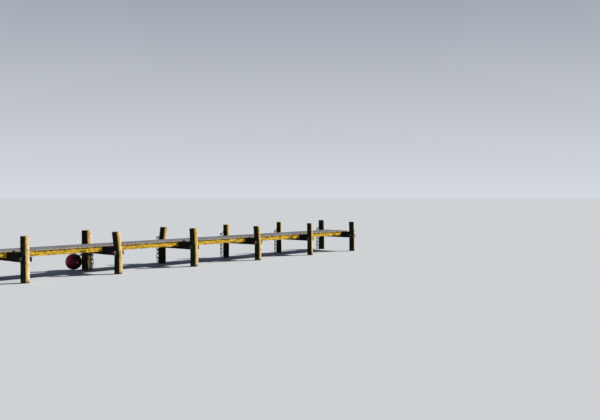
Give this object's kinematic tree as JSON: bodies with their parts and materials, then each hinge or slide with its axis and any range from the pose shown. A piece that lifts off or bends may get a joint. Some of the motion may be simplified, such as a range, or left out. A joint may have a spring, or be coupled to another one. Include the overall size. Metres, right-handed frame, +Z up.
{
  "type": "wooden jetty",
  "caption": "Straight wooden jetty: a board walkway on edge beams and cross planks that clasp paired log posts, with hanging mooring chains and a ball fender.",
  "frame": {"origin": "centre of the whole part's box at the foot of its posts, where they meet the water", "axes": "+X along the walkway from the shore to its open end, +Y across it towards the far row of posts, +Z up"},
  "size_m": [18.2316, 2.3681, 1.275],
  "materials": {
    "post_wood": "weathered round logs",
    "frame_wood": "weathered sawn planks",
    "beam_wood": "weathered sawn beams",
    "deck_wood": "silvered sawn boards",
    "chain_iron": "rusted iron",
    "fender_vinyl": "inflated vinyl skin",
    "rope_fibre": "weathered laid fibre rope"
  },
  "bodies": {
    "root": {"near_post_1": "post_wood", "near_post_2": "post_wood", "near_post_3": "post_wood", "near_post_4": "post_wood", "near_post_5": "post_wood", "near_post_6": "post_wood", "near_post_7": "post_wood", "far_post_1": "post_wood", "far_post_2": "post_wood", "far_post_3": "post_wood", "far_post_4": "post_wood", "far_post_5": "post_wood", "far_post_6": "post_wood", "far_post_7": "post_wood", "cross_planks_1": "frame_wood", "cross_planks_2": "frame_wood", "cross_planks_3": "frame_wood", "cross_planks_4": "frame_wood", "cross_planks_5": "frame_wood", "cross_planks_6": "frame_wood", "cross_planks_7": "frame_wood", "edge_beams_1": "beam_wood", "edge_beams_2": "beam_wood", "edge_beams_3": "beam_wood", "edge_beams_4": "beam_wood", "edge_beams_5": "beam_wood", "edge_beams_6": "beam_wood", "deck_bay_1": "deck_wood", "deck_bay_2": "deck_wood", "deck_bay_3": "deck_wood", "deck_bay_4": "deck_wood", "deck_bay_5": "deck_wood", "deck_bay_6": "deck_wood", "mooring_chain_1": "chain_iron", "mooring_chain_2": "chain_iron", "mooring_chain_3": "chain_iron", "mooring_chain_4": "chain_iron", "mooring_chain_5": "chain_iron", "mooring_chain_6": "chain_iron", "mooring_chain_7": "chain_iron", "ball_fender": "fender_vinyl", "fender_rope": "rope_fibre"}
  },
  "joints": []
}
